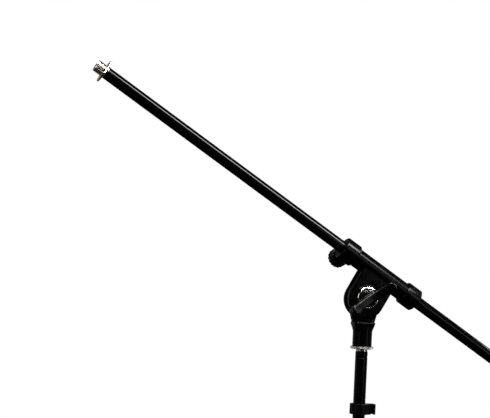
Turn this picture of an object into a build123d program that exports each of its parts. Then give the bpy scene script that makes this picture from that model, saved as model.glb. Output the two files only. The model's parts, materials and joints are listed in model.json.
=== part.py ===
import os
from math import cos, radians, sin

from build123d import *

# All sizes are in millimetres. The origin is the centre of the upright rod's lower end,
# +Z runs up the rod, and the boom lies in the XZ plane with its microphone end towards -X.

# Tubes and their threaded ends
TUBE_RADIUS = 8.0
TUBE_WALL = 1.2
TUBE_BORE = TUBE_RADIUS - TUBE_WALL
ROD_LENGTH = 260.0
BOOM_LENGTH = 762.0
THREAD_RADIUS = 7.94           # 5/8 inch major diameter, 27 threads to the inch
THREAD_LENGTH = 16.0
THREAD_LEAD = 0.8              # chamfer at the start of a thread
RELIEF_RADIUS = 7.4            # unthreaded relief between the shoulder and the thread
RELIEF_LENGTH = 3.1
STUD_BORE = 5.2
PLUG_RADIUS = TUBE_BORE - 0.02
PLUG_LENGTH = 25.0
SHOULDER_RADIUS = 8.4
SHOULDER_THICKNESS = 1.5
RUNNING_GAP = 0.06             # radial play of a part that runs on a shaft or thread
FACE_GAP = 0.1                 # play between flat faces of pieces that move apart

# Crimps that hold the insert in the rod's top
CRIMP_HEIGHT = ROD_LENGTH - 9.5
CRIMP_TOOL_RADIUS = 3.0
CRIMP_DEPTH = 0.5
CRIMP_COUNT = 3
CRIMP_START = -110.0           # the first crimp's place round the rod, in degrees from +X

# Lock rings
RING_RADIUS = 15.0
STAND_RING_THICKNESS = 3.8
MIC_RING_THICKNESS = 2.8
RING_CHAMFER = 0.5

# Pivot and attitude
PIVOT_HEIGHT = 330.0
BOOM_ANGLE = 32.0              # the boom's rise above level, at rest
SLEEVE_OFFSET = 36.5           # from the pivot axis to the boom axis

# Sleeve of the head
SLEEVE_RADIUS = 12.5
SLEEVE_BORE = 9.6
SLEEVE_HALF = 59.0
LIP = 3.0                      # how far a collar stands past the sleeve's end
COLLAR_RADIUS = 15.2
FRONT_COLLAR_LENGTH = 21.5
REAR_COLLAR_LENGTH = 21.5
LIP_BORE = 8.4
RIM_CHAMFER = 1.2

# Liners between the boom and the sleeve
LINER_RADIUS = SLEEVE_BORE - 0.1
LINER_LENGTH = 22.0
RIB_RADIUS = 10.2
RIB_LENGTH = 3.0
GROOVE_GAP = 0.1
FRONT_LINER_CENTRE = 29.0
REAR_LINER_CENTRE = -45.0

# Boom's place in the sleeve
FRONT_REACH = 441.0            # from the pivot's foot on the boom axis to the tube's front end
CAP_RADIUS = 8.9
CAP_LENGTH = 18.0
CAP_PLUG_LENGTH = 14.0

# Boom clamp, set radially through the front collar
CLAMP_INSET = 10.0             # from the front collar's outer end to the clamp's axis
CLAMP_STATION = SLEEVE_HALF + LIP - CLAMP_INSET
CLAMP_ANGLE = 68.0             # from straight below the boom, towards the back
PAD_RADIUS = 4.0
PAD_START = TUBE_RADIUS + 0.1
PAD_LENGTH = 2.5
PAD_HOLE = PAD_RADIUS + RUNNING_GAP
PAD_HOLE_DEPTH = 5.5
SCREW_RADIUS = 3.0
SCREW_PLAY = 0.05
NUT_ACROSS = 10.0
NUT_START = 12.9
NUT_THICKNESS = 3.6
BOSS_RADIUS = 7.5
BOSS_ROOT = 12.9
BOSS_TOP = 17.4
KNOB_RADIUS = 12.9
KNOB_START = 18.4
KNOB_LENGTH = 13.0
KNOB_FLUTES = 16
FLUTE_RADIUS = 2.2
FLUTE_DEPTH = 0.7
SCREW_END = KNOB_START + 9.0

# Tongue of the base and ears of the head
EAR_RADIUS = 24.8
EAR_SHIFT = -1.3                # the ears' arc is centred a little behind the pivot
EAR_DROP = 2.1                 # and a little below it
EAR_FLARE = 25.0               # half width of the ears where they meet the sleeve
EAR_OUTER = 11.5
TONGUE_HALF = 4.0
DISC_THICKNESS = 1.2
DISC_RADIUS = 19.0
EAR_INNER = TONGUE_HALF + DISC_THICKNESS + FACE_GAP
TONGUE_RADIUS = 22.5
SLOT_WIDTH = 60.0              # the gap between the ears is cut right across them
SLOT_HEIGHT = 60.0
EDGE_FILLET = 2.0
FRONT_BOSS_RADIUS = 15.6
FRONT_BOSS_FACE = 14.5
REAR_BOSS_RADIUS = 13.0
REAR_BOSS_FACE = 14.0

# Base casting below the pivot
NECK_RADIUS = 12.6
NECK_TOP = -44.0
SOCKET_FACE = -63.0
SHOULDER_TOP = -30.5
SHOULDER_BOTTOM = -34.0
SHOULDER_WIDTH = 28.4
SHOULDER_DEPTH = 25.0
SHOULDER_CORNER = 5.5
SHOULDER_CHAMFER = 2.2
CHEEK_HALF_WIDTH = 17.6
CHEEK_TOP = -22.0
CHEEK_SPREAD = 20.0            # angle below level at which the cheeks leave the tongue
SOCKET_DEPTH = 10.5
SOCKET_RADIUS = THREAD_RADIUS + RUNNING_GAP

# Pivot bolt, washer and T-handle
BOLT_RADIUS = 4.0
BOLT_HEAD_ACROSS = 13.0
BOLT_HEAD_THICKNESS = 5.5
BOLT_TIP = 25.0
PIVOT_PLAY = 0.08
WASHER_RADIUS = 14.1
WASHER_THICKNESS = 1.7
WASHER_CHAMFER = 0.3
HUB_BASE = FRONT_BOSS_FACE + FACE_GAP + WASHER_THICKNESS + FACE_GAP
HUB_RADIUS = 11.2
HUB_NECK_RADIUS = 8.6
HUB_HEIGHT = 10.0
LEVER_START = 7.0              # from the hub's base to the middle of the bar's underside
LEVER_ANGLE = 33.0             # the handle's slope at rest
LEVER_LENGTH = 68.0
LEVER_END_WIDTH = 14.0
LEVER_MID_WIDTH = 11.5
LEVER_THICKNESS = 9.0
LEVER_RISE = 11.0              # how far the bar's ends curve away from the casting
LEVER_FILLET = 2.6
INSERT_ACROSS = 11.0
INSERT_LENGTH = 9.5
INSERT_PLAY = 0.05

# Cable clip
CLIP_BOTTOM = 178.6
CLIP_HEIGHT = 13.6
CLIP_RADIUS = 12.2
CLIP_REACH = 22.6
LOOP_RADIUS = 6.4
LOOP_BORE = 4.2
CLIP_MOUTH = 3.6
CLIP_EDGE = 0.5

os.makedirs("parts", exist_ok=True)


def finish(builder, node):
    """Label one finished piece and write it to its own STEP file."""
    builder.part.label = node
    export_step(builder.part, f"parts/{node}.step")


def towards_mic(distance):
    """Vector of this length along the boom, towards the microphone end."""
    return Vector(-cos(BOOM_TILT) * distance, 0, sin(BOOM_TILT) * distance)


BOOM_TILT = radians(BOOM_ANGLE)
PIVOT = Vector(0, 0, PIVOT_HEIGHT)
FOOT = PIVOT + Vector(sin(BOOM_TILT), 0, cos(BOOM_TILT)) * SLEEVE_OFFSET

# Boom frame: local Z towards the microphone, local Y towards the pivot, local X to the back.
BOOM = Plane(origin=FOOT, x_dir=(0, 1, 0), z_dir=towards_mic(1))
# Head side view: local X towards the microphone, local Y from the pivot to the sleeve.
HEAD_SIDE = Plane(origin=PIVOT, x_dir=towards_mic(1), z_dir=(0, 1, 0))
# Front view of the pivot: local X right, local Y up, local Z out to the front.
FRONT = Plane(origin=PIVOT, x_dir=(1, 0, 0), z_dir=(0, -1, 0))
# Clamp frame: local Z runs out from the boom axis through the clamp screw.
CLAMP_OUT = (
    BOOM.y_dir * cos(radians(CLAMP_ANGLE)) + BOOM.x_dir * sin(radians(CLAMP_ANGLE))
)
CLAMP = Plane(
    origin=FOOT + towards_mic(CLAMP_STATION), x_dir=towards_mic(1), z_dir=CLAMP_OUT
)


def threaded_insert(seat, shoulder):
    """Hollow threaded stud with a plug that is pressed into a tube's end."""
    thread_start = SHOULDER_THICKNESS + RELIEF_LENGTH if shoulder else 0
    with BuildPart() as insert:
        with BuildSketch(seat.offset(-PLUG_LENGTH)):
            Circle(PLUG_RADIUS)
        extrude(amount=PLUG_LENGTH)
        if shoulder:
            with BuildSketch(seat):
                Circle(SHOULDER_RADIUS)
            extrude(amount=SHOULDER_THICKNESS)
            with BuildSketch(seat):
                Circle(RELIEF_RADIUS)
            extrude(amount=thread_start)
        with BuildSketch(seat.offset(thread_start)):
            Circle(THREAD_RADIUS)
        extrude(amount=THREAD_LENGTH - thread_start)
        tip = insert.faces().sort_by(Axis(seat.origin, seat.z_dir))[-1]
        chamfer(tip.edges(), THREAD_LEAD)
        with BuildSketch(seat.offset(-PLUG_LENGTH)):
            Circle(STUD_BORE)
        extrude(amount=PLUG_LENGTH + THREAD_LENGTH, mode=Mode.SUBTRACT)
    return insert


def lock_ring(seat, thickness):
    """Thin ring with a threaded bore and chamfered rims."""
    with BuildPart() as ring:
        with BuildSketch(seat):
            Circle(RING_RADIUS)
        extrude(amount=thickness)
        chamfer(ring.edges().group_by(SortBy.LENGTH)[-1], RING_CHAMFER)
        with BuildSketch(seat):
            Circle(THREAD_RADIUS + RUNNING_GAP)
        extrude(amount=thickness, mode=Mode.SUBTRACT)
    return ring


# Upright rod: a plain tube that stands in the stand's lower tube
with BuildPart() as upright_rod:
    with BuildSketch(Plane.XY):
        Circle(TUBE_RADIUS)
        Circle(TUBE_BORE, mode=Mode.SUBTRACT)
    extrude(amount=ROD_LENGTH)
    crimp_reach = TUBE_RADIUS + CRIMP_TOOL_RADIUS - CRIMP_DEPTH
    with Locations((0, 0, CRIMP_HEIGHT)):
        with PolarLocations(crimp_reach, CRIMP_COUNT, start_angle=CRIMP_START):
            Cylinder(
                CRIMP_TOOL_RADIUS, TUBE_RADIUS, rotation=(90, 0, 0), mode=Mode.SUBTRACT
            )

rod_thread_insert = threaded_insert(Plane.XY.offset(ROD_LENGTH), shoulder=False)

# Stand lock ring: jammed up against the base casting's socket face
SOCKET_HEIGHT = PIVOT_HEIGHT + SOCKET_FACE
RING_SEAT = Plane.XY.offset(SOCKET_HEIGHT - FACE_GAP - STAND_RING_THICKNESS)
stand_lock_ring = lock_ring(RING_SEAT, STAND_RING_THICKNESS)

# Cable clip: a snap ring round the rod with a smaller open loop for the cable
with BuildPart() as cable_clip:
    loop_centre = CLIP_REACH - LOOP_RADIUS
    with BuildSketch(Plane.XY.offset(CLIP_BOTTOM)):
        Circle(CLIP_RADIUS)
        with Locations((loop_centre / 2, 0)):
            Rectangle(loop_centre, 2 * LOOP_RADIUS)
        with Locations((loop_centre, 0)):
            Circle(LOOP_RADIUS)
        Circle(TUBE_RADIUS + RUNNING_GAP, mode=Mode.SUBTRACT)
        with Locations((loop_centre, 0)):
            Circle(LOOP_BORE, mode=Mode.SUBTRACT)
        with Locations((loop_centre, -LOOP_RADIUS)):
            Rectangle(CLIP_MOUTH, 2 * LOOP_RADIUS, mode=Mode.SUBTRACT)
        with Locations((-CLIP_RADIUS, 0)):
            Rectangle(CLIP_RADIUS, CLIP_MOUTH, mode=Mode.SUBTRACT)
    extrude(amount=CLIP_HEIGHT)
    fillet(cable_clip.edges().filter_by(Axis.Z), CLIP_EDGE)

# Base casting: tongue between the ears, chamfered shoulder, round neck and threaded socket
CHEEK_ROOT_X = TONGUE_RADIUS * cos(radians(CHEEK_SPREAD))
CHEEK_ROOT_Z = -TONGUE_RADIUS * sin(radians(CHEEK_SPREAD))
with BuildPart() as base_casting:
    with BuildSketch(Plane.XY.offset(PIVOT_HEIGHT + SHOULDER_BOTTOM)):
        RectangleRounded(SHOULDER_WIDTH, SHOULDER_DEPTH, SHOULDER_CORNER)
    extrude(amount=SHOULDER_TOP - SHOULDER_BOTTOM)
    chamfer(base_casting.faces().sort_by(Axis.Z)[-1].edges(), SHOULDER_CHAMFER)
    with BuildSketch(Plane.XY.offset(PIVOT_HEIGHT + SHOULDER_BOTTOM)):
        RectangleRounded(SHOULDER_WIDTH, SHOULDER_DEPTH, SHOULDER_CORNER)
    with BuildSketch(Plane.XY.offset(PIVOT_HEIGHT + NECK_TOP)):
        Circle(NECK_RADIUS)
    loft()
    with BuildSketch(FRONT.offset(-TONGUE_HALF)):
        Circle(TONGUE_RADIUS)
        with BuildLine():
            Polyline(
                (-CHEEK_ROOT_X, CHEEK_ROOT_Z),
                (-CHEEK_HALF_WIDTH, CHEEK_TOP),
                (-SHOULDER_WIDTH / 2, SHOULDER_BOTTOM),
                (SHOULDER_WIDTH / 2, SHOULDER_BOTTOM),
                (CHEEK_HALF_WIDTH, CHEEK_TOP),
                (CHEEK_ROOT_X, CHEEK_ROOT_Z),
                close=True,
            )
        make_face()
    extrude(amount=2 * TONGUE_HALF)
    with BuildSketch(Plane.XY.offset(SOCKET_HEIGHT)):
        Circle(NECK_RADIUS)
    extrude(amount=NECK_TOP - SOCKET_FACE)
    with BuildSketch(Plane.XY.offset(SOCKET_HEIGHT)):
        Circle(SOCKET_RADIUS)
    extrude(amount=SOCKET_DEPTH, mode=Mode.SUBTRACT)
    with BuildSketch(FRONT.offset(-TONGUE_HALF)):
        Circle(BOLT_RADIUS + PIVOT_PLAY)
    extrude(amount=2 * TONGUE_HALF, mode=Mode.SUBTRACT)


def friction_disc(inner_face):
    """Flat disc on one side of the tongue."""
    with BuildPart() as disc:
        with BuildSketch(FRONT.offset(inner_face)):
            Circle(DISC_RADIUS)
            Circle(BOLT_RADIUS + PIVOT_PLAY, mode=Mode.SUBTRACT)
        extrude(amount=DISC_THICKNESS)
    return disc


front_friction_disc = friction_disc(TONGUE_HALF)
rear_friction_disc = friction_disc(-TONGUE_HALF - DISC_THICKNESS)

# Head casting: sleeve for the boom and two ears that straddle the tongue
with BuildPart() as head_casting:
    with BuildSketch(HEAD_SIDE.offset(-EAR_OUTER)):
        with Locations((EAR_SHIFT, -EAR_DROP)):
            Circle(EAR_RADIUS)
        with BuildLine():
            Polyline(
                (EAR_SHIFT - EAR_RADIUS, -EAR_DROP),
                (EAR_SHIFT + EAR_RADIUS, -EAR_DROP),
                (EAR_FLARE, SLEEVE_OFFSET - SLEEVE_RADIUS),
                (EAR_FLARE, SLEEVE_OFFSET),
                (-EAR_FLARE, SLEEVE_OFFSET),
                (-EAR_FLARE, SLEEVE_OFFSET - SLEEVE_RADIUS),
                close=True,
            )
        make_face()
    extrude(amount=2 * EAR_OUTER)
    outer_faces = head_casting.faces().filter_by(Axis.Y)
    fillet(outer_faces.edges().filter_by(GeomType.CIRCLE), EDGE_FILLET)
    with BuildSketch(BOOM.offset(-SLEEVE_HALF)):
        Circle(SLEEVE_RADIUS)
    extrude(amount=2 * SLEEVE_HALF)
    with BuildSketch(FRONT.offset(EAR_OUTER)):
        Circle(FRONT_BOSS_RADIUS)
    extrude(amount=FRONT_BOSS_FACE - EAR_OUTER)
    with BuildSketch(FRONT.offset(-REAR_BOSS_FACE)):
        Circle(REAR_BOSS_RADIUS)
    extrude(amount=REAR_BOSS_FACE - EAR_OUTER)
    with BuildSketch(HEAD_SIDE.offset(-EAR_INNER)):
        with Locations((0, SLEEVE_OFFSET - SLEEVE_RADIUS)):
            Rectangle(SLOT_WIDTH, SLOT_HEIGHT, align=(Align.CENTER, Align.MAX))
    extrude(amount=2 * EAR_INNER, mode=Mode.SUBTRACT)
    with BuildSketch(BOOM.offset(-SLEEVE_HALF)):
        Circle(SLEEVE_BORE)
    extrude(amount=2 * SLEEVE_HALF, mode=Mode.SUBTRACT)
    for centre in (FRONT_LINER_CENTRE, REAR_LINER_CENTRE):
        groove_half = RIB_LENGTH / 2 + GROOVE_GAP
        with BuildSketch(BOOM.offset(centre - groove_half)):
            Circle(RIB_RADIUS + GROOVE_GAP)
        extrude(amount=2 * groove_half, mode=Mode.SUBTRACT)
    with BuildSketch(FRONT.offset(-REAR_BOSS_FACE)):
        Circle(BOLT_RADIUS)
    extrude(amount=REAR_BOSS_FACE + FRONT_BOSS_FACE, mode=Mode.SUBTRACT)
    with BuildSketch(FRONT.offset(-REAR_BOSS_FACE)):
        RegularPolygon(BOLT_HEAD_ACROSS / 2, 6, major_radius=False)
    extrude(amount=BOLT_HEAD_THICKNESS, mode=Mode.SUBTRACT)
    with BuildSketch(CLAMP.offset(TUBE_RADIUS)):
        Circle(PAD_HOLE)
    extrude(amount=PAD_HOLE_DEPTH, mode=Mode.SUBTRACT)


def collar(end, direction, length):
    """Collar pressed over one end of the sleeve, with a lip that closes its end."""
    with BuildPart() as piece:
        outer_end = end + direction * LIP
        with BuildSketch(BOOM.offset(outer_end)):
            Circle(COLLAR_RADIUS)
        extrude(amount=-direction * length)
        chamfer(piece.edges().group_by(SortBy.LENGTH)[-1], RIM_CHAMFER)
        with BuildSketch(BOOM.offset(end)):
            Circle(SLEEVE_RADIUS)
        extrude(amount=-direction * (length - LIP), mode=Mode.SUBTRACT)
        with BuildSketch(BOOM.offset(outer_end)):
            Circle(LIP_BORE)
        extrude(amount=-direction * LIP, mode=Mode.SUBTRACT)
    return piece


rear_collar = collar(-SLEEVE_HALF, -1, REAR_COLLAR_LENGTH)
plain_front_collar = collar(SLEEVE_HALF, 1, FRONT_COLLAR_LENGTH)

# Front collar: the same collar with a boss that holds the clamp screw's nut
with BuildPart() as front_collar:
    add(plain_front_collar.part)
    with BuildSketch(CLAMP.offset(BOSS_ROOT)):
        Circle(BOSS_RADIUS)
    extrude(amount=BOSS_TOP - BOSS_ROOT)
    with BuildSketch(CLAMP.offset(TUBE_RADIUS)):
        RegularPolygon(NUT_ACROSS / 2, 6, major_radius=False)
    extrude(amount=NUT_START + NUT_THICKNESS - TUBE_RADIUS, mode=Mode.SUBTRACT)
    with BuildSketch(CLAMP.offset(TUBE_RADIUS)):
        Circle(SCREW_RADIUS + SCREW_PLAY)
    extrude(amount=BOSS_TOP - TUBE_RADIUS, mode=Mode.SUBTRACT)

# Clamp nut: hexagon nut held in the collar's boss
with BuildPart() as clamp_nut:
    with BuildSketch(CLAMP.offset(NUT_START)):
        RegularPolygon(NUT_ACROSS / 2, 6, major_radius=False)
        Circle(SCREW_RADIUS + SCREW_PLAY, mode=Mode.SUBTRACT)
    extrude(amount=NUT_THICKNESS)

# Clamp pad: slug between the screw's tip and the boom
with BuildPart() as clamp_pad:
    with BuildSketch(CLAMP.offset(PAD_START)):
        Circle(PAD_RADIUS)
    extrude(amount=PAD_LENGTH)

# Clamp screw: pressed into the knob
with BuildPart() as clamp_screw:
    with BuildSketch(CLAMP.offset(PAD_START + PAD_LENGTH + FACE_GAP)):
        Circle(SCREW_RADIUS)
    extrude(amount=SCREW_END - PAD_START - PAD_LENGTH - FACE_GAP)

# Clamp knob: fluted round knob
with BuildPart() as clamp_knob:
    with BuildSketch(CLAMP.offset(KNOB_START)):
        Circle(KNOB_RADIUS)
        with PolarLocations(KNOB_RADIUS + FLUTE_RADIUS - FLUTE_DEPTH, KNOB_FLUTES):
            Circle(FLUTE_RADIUS, mode=Mode.SUBTRACT)
    extrude(amount=KNOB_LENGTH)
    knob_top = clamp_knob.faces().sort_by(Axis(CLAMP.origin, CLAMP.z_dir))[-1]
    chamfer(knob_top.edges(), RIM_CHAMFER)
    with BuildSketch(CLAMP.offset(KNOB_START)):
        Circle(SCREW_RADIUS)
    extrude(amount=SCREW_END - KNOB_START, mode=Mode.SUBTRACT)


def liner(centre):
    """Nylon tube that turns with the boom, with a rib in the sleeve's groove."""
    with BuildPart() as piece:
        with BuildSketch(BOOM.offset(centre - LINER_LENGTH / 2)):
            Circle(LINER_RADIUS)
        extrude(amount=LINER_LENGTH)
        with BuildSketch(BOOM.offset(centre - RIB_LENGTH / 2)):
            Circle(RIB_RADIUS)
        extrude(amount=RIB_LENGTH)
        with BuildSketch(BOOM.offset(centre - LINER_LENGTH / 2)):
            Circle(TUBE_RADIUS + RUNNING_GAP)
        extrude(amount=LINER_LENGTH, mode=Mode.SUBTRACT)
    return piece


front_liner = liner(FRONT_LINER_CENTRE)
rear_liner = liner(REAR_LINER_CENTRE)

# Boom tube
REAR_REACH = FRONT_REACH - BOOM_LENGTH
with BuildPart() as boom_tube:
    with BuildSketch(BOOM.offset(REAR_REACH)):
        Circle(TUBE_RADIUS)
        Circle(TUBE_BORE, mode=Mode.SUBTRACT)
    extrude(amount=BOOM_LENGTH)

boom_thread_insert = threaded_insert(BOOM.offset(FRONT_REACH), shoulder=True)
MIC_RING_SEAT = BOOM.offset(FRONT_REACH + SHOULDER_THICKNESS + FACE_GAP)
mic_lock_ring = lock_ring(MIC_RING_SEAT, MIC_RING_THICKNESS)

# Boom end cap: plug with a rounded head on the rear end
with BuildPart() as boom_end_cap:
    with BuildSketch(BOOM.offset(REAR_REACH)):
        Circle(CAP_RADIUS)
    extrude(amount=-CAP_LENGTH)
    cap_end = boom_end_cap.faces().sort_by(Axis(BOOM.origin, BOOM.z_dir))[0]
    fillet(cap_end.edges(), EDGE_FILLET)
    with BuildSketch(BOOM.offset(REAR_REACH)):
        Circle(PLUG_RADIUS)
    extrude(amount=CAP_PLUG_LENGTH)

# Pivot bolt: hexagon head in the rear ear's pocket, shank through to the T-handle
with BuildPart() as pivot_bolt:
    with BuildSketch(FRONT.offset(-REAR_BOSS_FACE)):
        RegularPolygon(BOLT_HEAD_ACROSS / 2, 6, major_radius=False)
    extrude(amount=BOLT_HEAD_THICKNESS)
    with BuildSketch(FRONT.offset(-REAR_BOSS_FACE + BOLT_HEAD_THICKNESS)):
        Circle(BOLT_RADIUS)
    extrude(amount=REAR_BOSS_FACE - BOLT_HEAD_THICKNESS + BOLT_TIP)

# Handle washer: bright flat ring under the T-handle
with BuildPart() as handle_washer:
    with BuildSketch(FRONT.offset(FRONT_BOSS_FACE + FACE_GAP)):
        Circle(WASHER_RADIUS)
        Circle(BOLT_RADIUS + PIVOT_PLAY, mode=Mode.SUBTRACT)
    extrude(amount=WASHER_THICKNESS)
    chamfer(handle_washer.edges().group_by(SortBy.LENGTH)[-1], WASHER_CHAMFER)

# Handle insert: hexagonal threaded bush moulded into the handle
with BuildPart() as handle_insert:
    with BuildSketch(FRONT.offset(HUB_BASE)):
        RegularPolygon(INSERT_ACROSS / 2, 6, major_radius=False)
        Circle(BOLT_RADIUS + INSERT_PLAY, mode=Mode.SUBTRACT)
    extrude(amount=INSERT_LENGTH)

# T-handle: round hub and a bar with broad rounded ends that curve away from the casting
LEVER_BASE = HUB_BASE + LEVER_START
LEVER_TILT = radians(LEVER_ANGLE)
LEVER_ALONG = Vector(cos(LEVER_TILT), 0, sin(LEVER_TILT))
LEVER_ORIGIN = FRONT.offset(LEVER_BASE).origin
LEVER_FACE = Plane(origin=LEVER_ORIGIN, x_dir=LEVER_ALONG, z_dir=FRONT.z_dir)
LEVER_SIDE = Plane(
    origin=LEVER_ORIGIN, x_dir=LEVER_ALONG, z_dir=LEVER_ALONG.cross(FRONT.z_dir)
)
LEVER_HALF = LEVER_LENGTH / 2
# The waist's long arcs are tangent to the round ends where the two meet.
END_RADIUS = LEVER_END_WIDTH / 2
END_CENTRE = LEVER_HALF - END_RADIUS
WAIST_DROP = END_RADIUS - LEVER_MID_WIDTH / 2
WAIST_CENTRE = (END_CENTRE**2 - WAIST_DROP**2) / (2 * WAIST_DROP)
JOIN_X = END_CENTRE * (1 - END_RADIUS / (WAIST_CENTRE + WAIST_DROP))
JOIN_Y = END_RADIUS * WAIST_CENTRE / (WAIST_CENTRE + WAIST_DROP)
with BuildPart() as t_handle:
    with BuildSketch(LEVER_FACE):
        with BuildLine():
            ThreePointArc((-JOIN_X, JOIN_Y), (0, LEVER_MID_WIDTH / 2), (JOIN_X, JOIN_Y))
            ThreePointArc((JOIN_X, JOIN_Y), (LEVER_HALF, 0), (JOIN_X, -JOIN_Y))
            ThreePointArc((JOIN_X, -JOIN_Y), (0, -LEVER_MID_WIDTH / 2), (-JOIN_X, -JOIN_Y))
            ThreePointArc((-JOIN_X, -JOIN_Y), (-LEVER_HALF, 0), (-JOIN_X, JOIN_Y))
        make_face()
    extrude(amount=LEVER_RISE + LEVER_THICKNESS)
    with BuildSketch(LEVER_SIDE):
        with BuildLine():
            ThreePointArc((-LEVER_HALF, LEVER_RISE), (0, 0), (LEVER_HALF, LEVER_RISE))
            Line((LEVER_HALF, LEVER_RISE), (LEVER_HALF, LEVER_RISE + LEVER_THICKNESS))
            ThreePointArc(
                (LEVER_HALF, LEVER_RISE + LEVER_THICKNESS),
                (0, LEVER_THICKNESS),
                (-LEVER_HALF, LEVER_RISE + LEVER_THICKNESS),
            )
            Line((-LEVER_HALF, LEVER_RISE + LEVER_THICKNESS), (-LEVER_HALF, LEVER_RISE))
        make_face()
    extrude(amount=LEVER_END_WIDTH, both=True, mode=Mode.INTERSECT)
    fillet(t_handle.edges().filter_by(Axis.Y, reverse=True), LEVER_FILLET)
    with BuildSketch(FRONT.offset(HUB_BASE)):
        Circle(HUB_RADIUS)
    with BuildSketch(FRONT.offset(HUB_BASE + HUB_HEIGHT)):
        Circle(HUB_NECK_RADIUS)
    loft()
    with BuildSketch(FRONT.offset(HUB_BASE)):
        RegularPolygon(INSERT_ACROSS / 2, 6, major_radius=False)
    extrude(amount=INSERT_LENGTH, mode=Mode.SUBTRACT)

PIECES = {
    "upright_rod": upright_rod,
    "rod_thread_insert": rod_thread_insert,
    "stand_lock_ring": stand_lock_ring,
    "cable_clip": cable_clip,
    "base_casting": base_casting,
    "front_friction_disc": front_friction_disc,
    "rear_friction_disc": rear_friction_disc,
    "head_casting": head_casting,
    "front_collar": front_collar,
    "rear_collar": rear_collar,
    "clamp_nut": clamp_nut,
    "clamp_pad": clamp_pad,
    "clamp_screw": clamp_screw,
    "clamp_knob": clamp_knob,
    "front_liner": front_liner,
    "rear_liner": rear_liner,
    "boom_tube": boom_tube,
    "boom_thread_insert": boom_thread_insert,
    "mic_lock_ring": mic_lock_ring,
    "boom_end_cap": boom_end_cap,
    "pivot_bolt": pivot_bolt,
    "handle_washer": handle_washer,
    "handle_insert": handle_insert,
    "t_handle": t_handle,
}
for node, builder in PIECES.items():
    finish(builder, node)
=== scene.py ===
import json
from math import cos, hypot, pi, radians, sin, tau

import bpy
from mathutils import Matrix, Vector


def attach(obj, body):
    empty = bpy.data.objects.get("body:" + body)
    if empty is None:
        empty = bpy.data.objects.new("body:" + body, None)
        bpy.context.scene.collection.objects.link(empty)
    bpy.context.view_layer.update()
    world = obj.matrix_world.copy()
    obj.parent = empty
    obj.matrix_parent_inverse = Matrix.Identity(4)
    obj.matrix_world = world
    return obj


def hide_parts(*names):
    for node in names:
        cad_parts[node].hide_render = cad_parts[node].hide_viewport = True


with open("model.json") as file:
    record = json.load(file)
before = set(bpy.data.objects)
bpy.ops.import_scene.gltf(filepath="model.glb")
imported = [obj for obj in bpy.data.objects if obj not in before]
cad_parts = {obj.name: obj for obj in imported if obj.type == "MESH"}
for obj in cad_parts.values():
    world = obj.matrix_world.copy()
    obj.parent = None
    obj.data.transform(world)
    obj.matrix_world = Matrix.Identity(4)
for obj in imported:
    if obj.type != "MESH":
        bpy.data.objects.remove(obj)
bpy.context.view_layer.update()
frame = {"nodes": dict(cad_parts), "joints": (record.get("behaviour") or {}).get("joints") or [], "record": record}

MM = 0.001
NODES = frame["nodes"]
JOINTS = {joint["name"]: joint for joint in frame["joints"]}

# The CAD's own axes: pivot, boom, clamp screw and upright rod
PIVOT = Vector(JOINTS["boom_tilt"]["pos_m"])
BOOM_FOOT = Vector(JOINTS["boom_roll"]["pos_m"])
BOOM_AXIS = Vector(JOINTS["boom_slide"]["axis"]).normalized()
CLAMP_AT = Vector(JOINTS["knob_turn"]["pos_m"])
CLAMP_AXIS = Vector(JOINTS["knob_turn"]["axis"]).normalized()
FRONT_AXIS = Vector((0, -1, 0))
UP = Vector((0, 0, 1))

# Threads: pitches in millimetres, and the 60 degree form in shares of a pitch
STAND_PITCH = 25.4 / 27
CLAMP_PITCH = 1.0
BOLT_PITCH = 1.25
DEPTH_SHARE = 0.6134
FLANK_SHARE = 0.3125           # width of one flank
ROOT_SHARE = 0.09375           # half the width of the flat root
ROWS_PER_TURN = 10
KNURL_ROUNDNESS = 0.8          # below 1 for ridges with full, rounded backs

TURN_STEPS = 96                # steps round a turned piece
SHARP_EDGE = radians(35)       # steeper corners stay sharp in the shading


def place(origin, axis):
    """Matrix whose local Z is the axis, with local X as near level as it can be."""
    side = UP.cross(axis) if abs(axis.z) < 0.99 else Vector((1, 0, 0))
    side.normalize()
    other = axis.cross(side)
    matrix = Matrix((side, other, axis)).transposed().to_4x4()
    matrix.translation = origin
    return matrix


BOOM = place(BOOM_FOOT, BOOM_AXIS)
CLAMP = place(CLAMP_AT, CLAMP_AXIS)
FRONT = place(PIVOT, FRONT_AXIS)
ROD = place(Vector((0, 0, 0)), UP)


def span(node, matrix):
    """Lowest and highest place along the matrix's Z, and largest radius about it, in mm."""
    inverse = matrix.inverted()
    points = [inverse @ vertex.co for vertex in NODES[node].data.vertices]
    heights = [point.z / MM for point in points]
    return min(heights), max(heights), max(hypot(p.x, p.y) for p in points) / MM


# ---------------------------------------------------------------- mesh making

def new_piece(name, points, faces, matrix):
    """Mesh object from points in millimetres in the matrix's own frame."""
    mesh = bpy.data.meshes.new(name)
    mesh.from_pydata([matrix @ (Vector(point) * MM) for point in points], [], faces)
    mesh.validate()
    mesh.update()
    piece = bpy.data.objects.new(name, mesh)
    bpy.context.scene.collection.objects.link(piece)
    return piece


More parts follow.
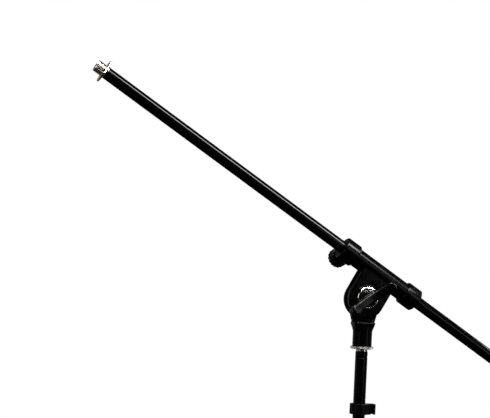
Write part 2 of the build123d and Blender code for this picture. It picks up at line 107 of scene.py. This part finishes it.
def turned(name, rows, matrix, steps=TURN_STEPS, hollow=True):
    """Turned piece: each row is (height, radius), and a radius may be a rule of the angle.

    A hollow piece's last row joins its first; a solid one closes at both ends. The shading is
    smooth and breaks at real edges."""
    points = []
    for height, radius in rows:
        for step in range(steps):
            angle = tau * step / steps
            r = radius(angle) if callable(radius) else radius
            points.append((r * cos(angle), r * sin(angle), height))
    faces = []
    count = len(rows)
    for row in range(count if hollow else count - 1):
        here, there = row * steps, (row + 1) % count * steps
        for step in range(steps):
            ahead = (step + 1) % steps
            faces.append((here + step, here + ahead, there + ahead, there + step))
    if not hollow:
        for row, turn in ((0, -1), (count - 1, 1)):
            points.append((0, 0, rows[row][0]))
            ring = range(row * steps, (row + 1) * steps)
            for step in range(steps):
                pair = (ring[step], ring[(step + 1) % steps])[::turn]
                faces.append((*pair, len(points) - 1))
    piece = new_piece(name, points, faces, matrix)
    piece.data.shade_smooth()
    piece.data.set_sharp_from_angle(angle=SHARP_EDGE)
    return piece


def rounded(outline, radius, steps=4, closed=True):
    """Outline in (height, radius) pairs with each corner rounded by an arc."""
    result = []
    count = len(outline)
    for index, corner in enumerate(outline):
        if not closed and index in (0, count - 1):
            result.append(corner)
            continue
        here = Vector(corner)
        back = Vector(outline[index - 1]) - here
        ahead = Vector(outline[(index + 1) % count]) - here
        reach = min(radius, 0.45 * back.length, 0.45 * ahead.length)
        start, end = here + back.normalized() * reach, here + ahead.normalized() * reach
        for step in range(steps + 1):
            t = step / steps
            bend = start * (1 - t) ** 2 + here * 2 * t * (1 - t) + end * t * t
            result.append((bend.x, bend.y))
    return result


def thread_rows(low, high, radius, pitch, run_in, run_out):
    """Rows of a helical thread whose ends fade out over the run-in and the run-out."""
    depth = DEPTH_SHARE * pitch

    def rule(height):
        most = min(1, max(0, min((height - low) / run_in, (high - height) / run_out)))

        def radius_at(angle):
            phase = (height / pitch - angle / tau) % 1
            crest = max(0, (abs(phase - 0.5) - ROOT_SHARE) / FLANK_SHARE)
            return radius - depth * (1 - min(most, crest))

        return radius_at

    count = round((high - low) / pitch * ROWS_PER_TURN)
    heights = [low + (high - low) * step / count for step in range(count + 1)]
    return [(height, rule(height)) for height in heights]


def knurl(radius, teeth, depth):
    """Radius rule of a knurled rim: rounded ridges along the axis."""
    def radius_at(angle):
        phase = (angle * teeth / tau) % 1
        return radius - depth * (1 - abs(sin(pi * phase)) ** KNURL_ROUNDNESS)

    return radius_at


def hexagon(across, limit):
    """Radius rule of a hexagon across its flats, cut by a round limit."""
    def radius_at(angle):
        turn = (angle % (tau / 6)) - tau / 12
        return min(across / 2 / cos(turn), limit)

    return radius_at


def cast(name, node, voxel=0.5, softness=6):
    """Copy of a CAD node with the soft edges of a casting or moulding; the voxel is in mm."""
    piece = bpy.data.objects.new(name, NODES[node].data.copy())
    bpy.context.scene.collection.objects.link(piece)
    piece.data.materials.clear()
    remesh = piece.modifiers.new("skin", "REMESH")
    remesh.mode = "VOXEL"
    remesh.voxel_size = voxel * MM
    smooth = piece.modifiers.new("soften", "SMOOTH")
    smooth.factor = 0.5
    smooth.iterations = softness
    graph = bpy.context.evaluated_depsgraph_get()
    mesh = bpy.data.meshes.new_from_object(piece.evaluated_get(graph))
    piece.modifiers.clear()
    piece.data = mesh
    mesh.shade_smooth()
    return piece


# ---------------------------------------------------------------- materials

COLOUR_ENDS = (0.35, 0.65)     # the part of a noise's range that moves a colour
ROUGHNESS_ENDS = (0.3, 0.7)    # and the part that moves a roughness


def set_range(node, ends, values):
    """Makes a Map Range node take the first pair of numbers to the second, clamped."""
    for socket, value in zip(("From Min", "From Max", "To Min", "To Max"), (*ends, *values)):
        node.inputs[socket].default_value = value


class Look:
    """Node material built step by step on one Principled shader."""

    def __init__(self, name):
        self.material = bpy.data.materials.new(name)
        self.material.use_nodes = True
        self.tree = self.material.node_tree
        self.shader = self.tree.nodes["Principled BSDF"]
        self.coords = self.node("ShaderNodeTexCoord").outputs["Object"]

    def node(self, kind):
        return self.tree.nodes.new(kind)

    def link(self, source, target):
        self.tree.links.new(source, target)

    def noise(self, scale, detail):
        """Noise over the piece, scale in features per metre."""
        texture = self.node("ShaderNodeTexNoise")
        texture.inputs["Scale"].default_value = scale
        texture.inputs["Detail"].default_value = detail
        self.link(self.coords, texture.inputs["Vector"])
        return texture.outputs["Fac"]

    def colour(self, source, dark, light):
        """Base colour that goes from dark to light with its source."""
        ramp = self.node("ShaderNodeValToRGB")
        for stop, position, value in zip(ramp.color_ramp.elements, COLOUR_ENDS, (dark, light)):
            stop.position, stop.color = position, (*value, 1)
        self.link(source, ramp.inputs["Fac"])
        self.link(ramp.outputs["Color"], self.shader.inputs["Base Color"])

    def roughness(self, source, low, high):
        """Roughness that goes from low to high with its source."""
        scale = self.node("ShaderNodeMapRange")
        set_range(scale, ROUGHNESS_ENDS, (low, high))
        self.link(source, scale.inputs["Value"])
        self.link(scale.outputs["Result"], self.shader.inputs["Roughness"])

    def bump(self, *layers):
        """Bump layers, each (source, height in metres)."""
        normal = None
        for source, height in layers:
            bump = self.node("ShaderNodeBump")
            bump.inputs["Strength"].default_value = 1.0
            bump.inputs["Distance"].default_value = height
            self.link(source, bump.inputs["Height"])
            if normal:
                self.link(normal, bump.inputs["Normal"])
            normal = bump.outputs["Normal"]
        self.link(normal, self.shader.inputs["Normal"])

    def set(self, **values):
        """Fixed shader inputs, each named with underscores for its spaces."""
        for key, value in values.items():
            self.shader.inputs[key.replace("_", " ")].default_value = value


def tube_paint():
    """Glossy black powder paint on a drawn tube, with faint orange peel and small scuffs."""
    look = Look("tube_paint")
    look.set(Specular_IOR_Level=0.07)
    peel = look.noise(700, 2)
    scuffs = look.noise(260, 6)
    look.colour(scuffs, (0.0002, 0.0002, 0.00025), (0.0007, 0.0007, 0.0008))
    look.roughness(scuffs, 0.09, 0.15)
    look.bump((peel, 5e-6), (look.noise(3500, 3), 1e-6))
    return look.material


def casting_paint():
    """Satin black paint on a rough die casting."""
    look = Look("casting_paint")
    look.set(Specular_IOR_Level=0.04)
    grain = look.noise(2600, 3)
    patches = look.noise(140, 5)
    look.colour(patches, (0.0002, 0.0002, 0.00028), (0.0006, 0.0006, 0.0008))
    look.roughness(patches, 0.17, 0.27)
    look.bump((grain, 8e-6), (look.noise(500, 4), 2e-5))
    return look.material


def gloss_plastic():
    """Shiny black moulded collar."""
    look = Look("gloss_plastic")
    look.set(Specular_IOR_Level=0.07)
    smudges = look.noise(190, 5)
    look.colour(smudges, (0.0002, 0.0002, 0.00025), (0.0006, 0.0006, 0.0007))
    look.roughness(smudges, 0.16, 0.26)
    look.bump((look.noise(1500, 3), 4e-6))
    return look.material


def black_plastic():
    """Satin black moulded plastic with a fine spark-eroded grain."""
    look = Look("black_plastic")
    look.set(Specular_IOR_Level=0.07)
    grain = look.noise(5200, 2)
    patches = look.noise(170, 5)
    look.colour(patches, (0.0002, 0.0002, 0.00025), (0.0006, 0.0006, 0.0007))
    look.roughness(patches, 0.24, 0.36)
    look.bump((grain, 1.2e-5), (look.noise(900, 3), 1e-5))
    return look.material


def nickel():
    """Bright nickel plate, faintly uneven, with dull patches."""
    look = Look("nickel")
    look.set(Metallic=1.0)
    patches = look.noise(300, 5)
    look.colour(patches, (0.80, 0.77, 0.70), (0.93, 0.91, 0.86))
    look.roughness(patches, 0.09, 0.2)
    look.bump((look.noise(900, 3), 1.5e-6))
    return look.material


def plain_metal(name, dark, light, rough):
    """Machined steel or brass with a fine grain."""
    look = Look(name)
    look.set(Metallic=1.0)
    patches = look.noise(350, 5)
    look.colour(patches, dark, light)
    look.roughness(patches, rough, rough + 0.16)
    look.bump((look.noise(3000, 4), 4e-6))
    return look.material


def dull(name, dark, light, rough):
    """Nylon or friction fibre."""
    look = Look(name)
    patches = look.noise(500, 5)
    look.colour(patches, dark, light)
    look.roughness(patches, rough, rough + 0.15)
    look.bump((look.noise(4000, 3), 2e-5))
    return look.material


LOOKS = {
    "black_tube": tube_paint(),
    "black_casting": casting_paint(),
    "gloss_black_plastic": gloss_plastic(),
    "black_plastic": black_plastic(),
    "bright_plate": nickel(),
    "steel": plain_metal("steel", (0.42, 0.42, 0.43), (0.6, 0.6, 0.6), 0.28),
    "brass": plain_metal("brass", (0.5, 0.35, 0.14), (0.72, 0.53, 0.25), 0.25),
    "nylon": dull("nylon", (0.52, 0.51, 0.46), (0.66, 0.65, 0.6), 0.45),
    "fibre": dull("fibre", (0.015, 0.013, 0.011), (0.045, 0.04, 0.034), 0.8),
}
SLOT_OF = {part["node"]: part["material_slot"] for part in frame["record"]["subparts"]}
BODY_OF = {
    node: body
    for body, nodes in frame["record"]["behaviour"]["bodies"].items()
    for node in nodes
}

# Every carried-over node gets its slot's material.
for node, piece in NODES.items():
    for slot in piece.material_slots:
        slot.material = LOOKS[SLOT_OF[node]]


def stand_for(piece, node):
    """The piece takes a CAD node's place, body and finish."""
    slot = SLOT_OF[node]
    piece.data.materials.append(LOOKS[slot])
    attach(piece, BODY_OF[node])
    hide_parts(node)
    return piece


# ---------------------------------------------------------------- tubes

_, ROD_TOP, TUBE_RADIUS = span("upright_rod", ROD)
BOOM_TAIL, BOOM_TIP, _ = span("boom_tube", BOOM)
TUBE_BORE = 6.8
TUBE_STEPS = 128
PLUG_RADIUS = 6.78             # what is pressed into a tube's end

CRIMP_DROP = 7.4               # from the rod's top to the middle of the crimp marks
CRIMP_TURN = radians(28)       # how far the first mark is turned from the front
CRIMP_COUNT = 3
CRIMP_STEPS = 8


def tube(name, node, matrix, extra_rows=()):
    """Drawn tube with slightly rounded ends; extra rows carry local dents."""
    low, high, radius = span(node, matrix)
    ease = 0.35
    outside = [
        (low, TUBE_BORE + ease), (low, radius - ease), (low + ease, radius),
        *extra_rows,
        (high - ease, radius), (high, radius - ease), (high, TUBE_BORE + ease),
    ]
    inside = [(high - ease, TUBE_BORE), (low + ease, TUBE_BORE)]
    return stand_for(turned(name, outside + inside, matrix, TUBE_STEPS), node)


def crimp_rows(centre, radius):
    """Rows round the short grooves that crimp a tube onto its stud."""
    half_height, half_width, depth = 1.7, radians(38), 1.1
    share = tau / CRIMP_COUNT

    def rule(height):
        def radius_at(angle):
            turn = (angle + tau / 4 + CRIMP_TURN + share / 2) % share - share / 2
            across = min(1, max(0, 2 * (1 - (turn / half_width) ** 2)))
            along = max(0, 1 - abs(height - centre) / half_height)
            return radius - depth * across * along

        return radius_at

    past = CRIMP_STEPS + 2
    heights = [centre + half_height * step / CRIMP_STEPS for step in range(-past, past + 1)]
    return [(height, rule(height)) for height in heights]


tube("rod_tube", "upright_rod", ROD, crimp_rows(ROD_TOP - CRIMP_DROP, TUBE_RADIUS))
tube("boom_pipe", "boom_tube", BOOM)

# ---------------------------------------------------------------- threaded studs and lock rings

STUD_RADIUS = 7.94
STUD_BORE = 5.2
STUD_STEPS = 120
SHOULDER_RADIUS = 8.4
SHOULDER_LENGTH = 1.5
BARE_LENGTH = 4.6              # from the boom's end to where the stud's thread starts
RING_BORE = 8.0
RING_TEETH = 72
RING_TOOTH_DEPTH = 0.32
RING_TOOTH_STEPS = 6


def stud(name, node, matrix, seat, shoulder, thread_start):
    """Hollow plated stud with a helical thread, pressed into a tube's end."""
    low, high, _ = span(node, matrix)
    ease, rim, mouth = 0.3, 0.25, 0.35
    root = STUD_RADIUS - DEPTH_SHARE * STAND_PITCH
    rows = [(low, STUD_BORE + ease), (low, PLUG_RADIUS - ease), (low + ease, PLUG_RADIUS)]
    rows += [(seat, PLUG_RADIUS)]
    if shoulder:
        face = seat + SHOULDER_LENGTH
        rows += [(seat, SHOULDER_RADIUS - ease), (seat + rim, SHOULDER_RADIUS)]
        rows += [(face - rim, SHOULDER_RADIUS), (face, SHOULDER_RADIUS - rim)]
        rows += [(face, root), (thread_start, root)]
    end = high - rim
    rows += thread_rows(thread_start, end, STUD_RADIUS, STAND_PITCH, run_in=0.9, run_out=1.1)
    rows += [(high, root - ease), (high, STUD_BORE + mouth), (high - mouth, STUD_BORE)]
    rows += [(low + ease, STUD_BORE)]
    return stand_for(turned(name, rows, matrix, STUD_STEPS), node)


stud("boom_stud", "boom_thread_insert", BOOM, BOOM_TIP, True, BOOM_TIP + BARE_LENGTH)
stud("rod_stud", "rod_thread_insert", ROD, ROD_TOP, False, ROD_TOP + 0.1)


def ring(name, node, matrix):
    """Thin nut with a finely knurled rim, chamfered faces and a plain bore."""
    low, high, radius = span(node, matrix)
    ease, rim_start, rim_rows = 0.4, 0.55, 4
    chamfer = [(0, 1.3), (0.12, 1.0), (0.45, 0.42)]    # in from a face, and in from the rim
    rim_length = high - low - 2 * rim_start
    teeth = knurl(radius, RING_TEETH, RING_TOOTH_DEPTH)
    rows = [(low + ease, RING_BORE), (low, RING_BORE + ease)]
    rows += [(low + depth, radius - drop) for depth, drop in chamfer]
    for step in range(rim_rows + 1):
        rows.append((low + rim_start + rim_length * step / rim_rows, teeth))
    rows += [(high - depth, radius - drop) for depth, drop in reversed(chamfer)]
    rows += [(high, RING_BORE + ease), (high - ease, RING_BORE)]
    return stand_for(turned(name, rows, matrix, RING_TEETH * RING_TOOTH_STEPS), node)


ring("mic_ring_nut", "mic_lock_ring", BOOM)
ring("stand_ring_nut", "stand_lock_ring", ROD)

# ---------------------------------------------------------------- castings and mouldings

stand_for(cast("head_body", "head_casting"), "head_casting")
stand_for(cast("base_body", "base_casting"), "base_casting")
stand_for(cast("front_collar_body", "front_collar", 0.4, 3), "front_collar")
stand_for(cast("clamp_knob_body", "clamp_knob", 0.4, 5), "clamp_knob")
stand_for(cast("handle_body", "t_handle", 0.45, 6), "t_handle")
stand_for(cast("clip_body", "cable_clip", 0.35, 3), "cable_clip")


def rear_collar():
    """Turned collar with chamfered, slightly rounded rims and a lip over the sleeve's end."""
    low, high, radius = span("rear_collar", BOOM)
    lip, sleeve, bore, rim = 3.0, 12.5, 8.4, 1.2
    outline = [
        (low, bore), (low, radius - rim), (low + rim, radius), (high - rim, radius),
        (high, radius - rim), (high, sleeve), (low + lip, sleeve), (low + lip, bore),
    ]
    return turned("rear_collar_body", rounded(outline, 0.5), BOOM)


stand_for(rear_collar(), "rear_collar")


def end_cap():
    """Moulded plug with a rounded head and two shallow grip grooves."""
    low, high, radius = span("boom_end_cap", BOOM)
    middle, depth, rounding = 0.5, 0.5, 2.4
    outline = [(low, middle), (low, radius)]
    for groove in (BOOM_TAIL - 9.5, BOOM_TAIL - 5.5):
        outline += [(groove - 2 * depth, radius), (groove - depth, radius - depth)]
        outline += [(groove + depth, radius - depth), (groove + 2 * depth, radius)]
    outline += [(BOOM_TAIL, radius), (BOOM_TAIL, PLUG_RADIUS)]
    outline += [(high, PLUG_RADIUS), (high, middle)]
    outline = rounded(outline, rounding, steps=6, closed=False)
    return turned("end_cap_body", outline, BOOM, hollow=False)


stand_for(end_cap(), "boom_end_cap")

# ---------------------------------------------------------------- screw, bolt and washer

THREAD_END = 0.2               # from the last of a thread to the end of its screw


def clamp_screw():
    """Headless screw, threaded from end to end."""
    low, high, radius = span("clamp_screw", CLAMP)
    tip, fade = radius - 0.9, 0.8
    rows = thread_rows(low + THREAD_END, high - THREAD_END, radius, CLAMP_PITCH, fade, fade)
    rows = [(low, tip), *rows, (high, tip)]
    return turned("clamp_screw_body", rows, CLAMP, steps=64, hollow=False)


def pivot_bolt():
    """Hexagon bolt: chamfered head at the back, threaded towards the T-handle."""
    low, high, _ = span("pivot_bolt", FRONT)
    across, thickness, radius, plain_end, fade = 13.0, 5.5, 4.0, 12, 1.0
    flat, corner = across / 2, across / 3 ** 0.5
    head = [(0.12, flat - 0.05), (0.5, corner - 0.3), (0.75, corner), (thickness, corner)]
    rows = [(low, flat - 0.5)]
    rows += [(low + depth, hexagon(across, limit)) for depth, limit in head]
    rows += [(low + thickness, radius), (plain_end, radius)]
    start, end = plain_end + THREAD_END, high - THREAD_END
    rows += thread_rows(start, end, radius, BOLT_PITCH, fade, fade)
    rows += [(high, radius - 0.8)]
    return turned("pivot_bolt_body", rows, FRONT, hollow=False)


def washer():
    """Pressed washer: a rounded ring round the flat seat of the T-handle's hub."""
    low, high, radius = span("handle_washer", FRONT)
    bore, seat, crown, edge, chamfer, steps = 4.08, 11.4, 0.55, 0.15, 0.3, 16
    foot, brim = high - crown, radius - edge
    rows = [(low + edge, bore), (low, bore + edge), (low, radius - chamfer)]
    rows += [(low + chamfer, radius), (foot - edge, radius)]
    for step in range(steps + 1):
        share = step / steps
        rows.append((foot + crown * sin(pi * share), brim - (brim - seat) * share))
    rows += [(foot, bore + edge), (foot - edge, bore)]
    return turned("washer_body", rows, FRONT, TUBE_STEPS)


stand_for(clamp_screw(), "clamp_screw")
stand_for(pivot_bolt(), "pivot_bolt")
stand_for(washer(), "handle_washer")

# ---------------------------------------------------------------- stage, light and camera

# Floor slab, in millimetres; the drop is from the rod's open lower end
FLOOR_DROP = 500.0
FLOOR_RADIUS = 3000.0
FLOOR_THICKNESS = 20.0

# The room that the object reflects
ROOM_DARK = (0.03, 0.024, 0.018, 1)
ROOM_WALL = (0.9, 0.88, 0.84, 1)
ROOM_STRENGTH = 0.5
WALL_TURN = (-0.4, 0.5)        # a direction's Y where the wall starts, and where it is full
WALL_HEIGHT = (0.16, 0.36)     # a direction's Z where it starts to fade, and where it ends

# Camera: where it stands from the pivot, in metres, and how it is turned there
CAMERA_AZIMUTH = radians(-20.8)
CAMERA_DISTANCE = 1.930
CAMERA_RISE = 0.041
CAMERA_SWING = radians(4.77)
CAMERA_PITCH = radians(1.98)
CAMERA_ROLL = radians(2.81)
CAMERA_LENS = 108.4
CAMERA_AT = PIVOT + Vector((
    sin(CAMERA_AZIMUTH) * CAMERA_DISTANCE, -cos(CAMERA_AZIMUTH) * CAMERA_DISTANCE, CAMERA_RISE
))


def stage():
    """Pale floor well below the held rod, kept out of the object's reflections."""
    rows = [(-FLOOR_THICKNESS, FLOOR_RADIUS), (0, FLOOR_RADIUS)]
    top = Matrix.Translation((0, 0, -FLOOR_DROP * MM))
    floor = turned("floor", rows, top, hollow=False)
    look = Look("floor_paint")
    look.colour(look.noise(3, 3), (0.80, 0.80, 0.80), (0.84, 0.84, 0.84))
    look.roughness(look.noise(6, 3), 0.7, 0.85)
    look.set(Emission_Color=(1, 1, 1, 1), Emission_Strength=0.55)
    floor.data.materials.append(look.material)
    floor.visible_glossy = False
    floor.visible_diffuse = False


def surroundings():
    """White to the eye; what the object reflects is a dark room with a bright back wall."""
    world = bpy.data.worlds.new("studio")
    bpy.context.scene.world = world
    world.use_nodes = True
    nodes, links = world.node_tree.nodes, world.node_tree.links

    def fade(source, ends, values):
        scale = nodes.new("ShaderNodeMapRange")
        set_range(scale, ends, values)
        links.new(source, scale.inputs["Value"])
        return scale.outputs["Result"]

    coords = nodes.new("ShaderNodeTexCoord")
    parts = nodes.new("ShaderNodeSeparateXYZ")
    links.new(coords.outputs["Generated"], parts.inputs["Vector"])
    off_level = nodes.new("ShaderNodeMath")
    off_level.operation = "ABSOLUTE"
    links.new(parts.outputs["Z"], off_level.inputs[0])
    wall = nodes.new("ShaderNodeMath")
    wall.operation = "MULTIPLY"
    links.new(fade(parts.outputs["Y"], WALL_TURN, (0, 1)), wall.inputs[0])
    links.new(fade(off_level.outputs["Value"], WALL_HEIGHT, (1, 0)), wall.inputs[1])

    ramp = nodes.new("ShaderNodeValToRGB")
    links.new(wall.outputs["Value"], ramp.inputs["Fac"])
    for stop, colour in zip(ramp.color_ramp.elements, (ROOM_DARK, ROOM_WALL)):
        stop.color = colour
    room = nodes["Background"]
    room.inputs["Strength"].default_value = ROOM_STRENGTH
    links.new(ramp.outputs["Color"], room.inputs["Color"])

    white = nodes.new("ShaderNodeBackground")
    white.inputs["Color"].default_value = (1, 1, 1, 1)
    seen = nodes.new("ShaderNodeLightPath")
    mix = nodes.new("ShaderNodeMixShader")
    links.new(seen.outputs["Is Camera Ray"], mix.inputs["Fac"])
    links.new(room.outputs["Background"], mix.inputs[1])
    links.new(white.outputs["Background"], mix.inputs[2])
    links.new(mix.outputs["Shader"], nodes["World Output"].inputs["Surface"])


def area_lamp(name, size, power):
    """Rectangular lamp, not yet placed."""
    light = bpy.data.lights.new(name, "AREA")
    light.shape = "RECTANGLE"
    light.size, light.size_y = size
    light.energy = power
    lamp = bpy.data.objects.new(name, light)
    bpy.context.scene.collection.objects.link(lamp)
    return lamp


def softbox(name, spot, aim, size, power):
    """Softbox at a spot, turned to face its aim."""
    lamp = area_lamp(name, size, power)
    lamp.location = spot
    lamp.rotation_euler = (Vector(aim) - Vector(spot)).to_track_quat("-Z", "Y").to_euler()


def boom_glint(along, lift, distance):
    """Where a lamp must be for the boom to mirror it to the camera, lift radians up its side."""
    point = BOOM_FOOT + BOOM_AXIS * along
    to_camera = (CAMERA_AT - point).normalized()
    axial = to_camera.dot(BOOM_AXIS)
    across = (to_camera - BOOM_AXIS * axial).normalized()
    above = across.cross(BOOM_AXIS)
    if above.z < 0:
        above = -above
    spread = (1 - axial * axial) ** 0.5
    bounce = (across * cos(2 * lift) + above * sin(2 * lift)) * spread - BOOM_AXIS * axial
    return point, point + bounce * distance


def boom_box(name, along, lift, distance, size, power):
    """Softbox mirrored by the boom; its first side runs along the boom."""
    point, spot = boom_glint(along, lift, distance)
    back = (spot - point).normalized()
    side = (BOOM_AXIS - back * BOOM_AXIS.dot(back)).normalized()
    matrix = Matrix((side, back.cross(side), back)).transposed().to_4x4()
    matrix.translation = spot
    area_lamp(name, size, power).matrix_world = matrix


def camera():
    """Camera at the viewing angle, with a long lens and everything in focus."""
    data = bpy.data.cameras.new("camera")
    data.lens = CAMERA_LENS
    data.sensor_width = 36
    data.clip_start, data.clip_end = 0.01, 100
    heading = CAMERA_AZIMUTH + CAMERA_SWING
    ahead = Vector((
        -sin(heading) * cos(CAMERA_PITCH), cos(heading) * cos(CAMERA_PITCH), sin(CAMERA_PITCH)
    ))
    right = ahead.cross(UP).normalized()
    up = right.cross(ahead)
    turned_right = right * cos(CAMERA_ROLL) + up * sin(CAMERA_ROLL)
    turned_up = up * cos(CAMERA_ROLL) - right * sin(CAMERA_ROLL)
    eye = bpy.data.objects.new("camera", data)
    matrix = Matrix((turned_right, turned_up, -ahead)).transposed().to_4x4()
    matrix.translation = CAMERA_AT
    eye.matrix_world = matrix
    bpy.context.scene.collection.objects.link(eye)
    bpy.context.scene.camera = eye


stage()
surroundings()
boom_box("key_box", along=0.25, lift=radians(34), distance=1.5, size=(0.8, 0.34), power=64)
boom_box("fill_box", along=-0.15, lift=radians(17), distance=1.7, size=(0.9, 0.5), power=5)
softbox("left_fill", (-1.7, -0.9, 0.7), (0, 0, 0.35), size=(0.7, 1.0), power=6)
softbox("edge_box", (-0.375, -0.45, 1.73), (0, 0, 0.35), size=(0.6, 0.6), power=90)
softbox("side_box", (1.12, 0.13, 0.71), (0, 0, 0.3), size=(0.35, 0.35), power=12)
camera()
bpy.context.scene.view_settings.view_transform = "Standard"
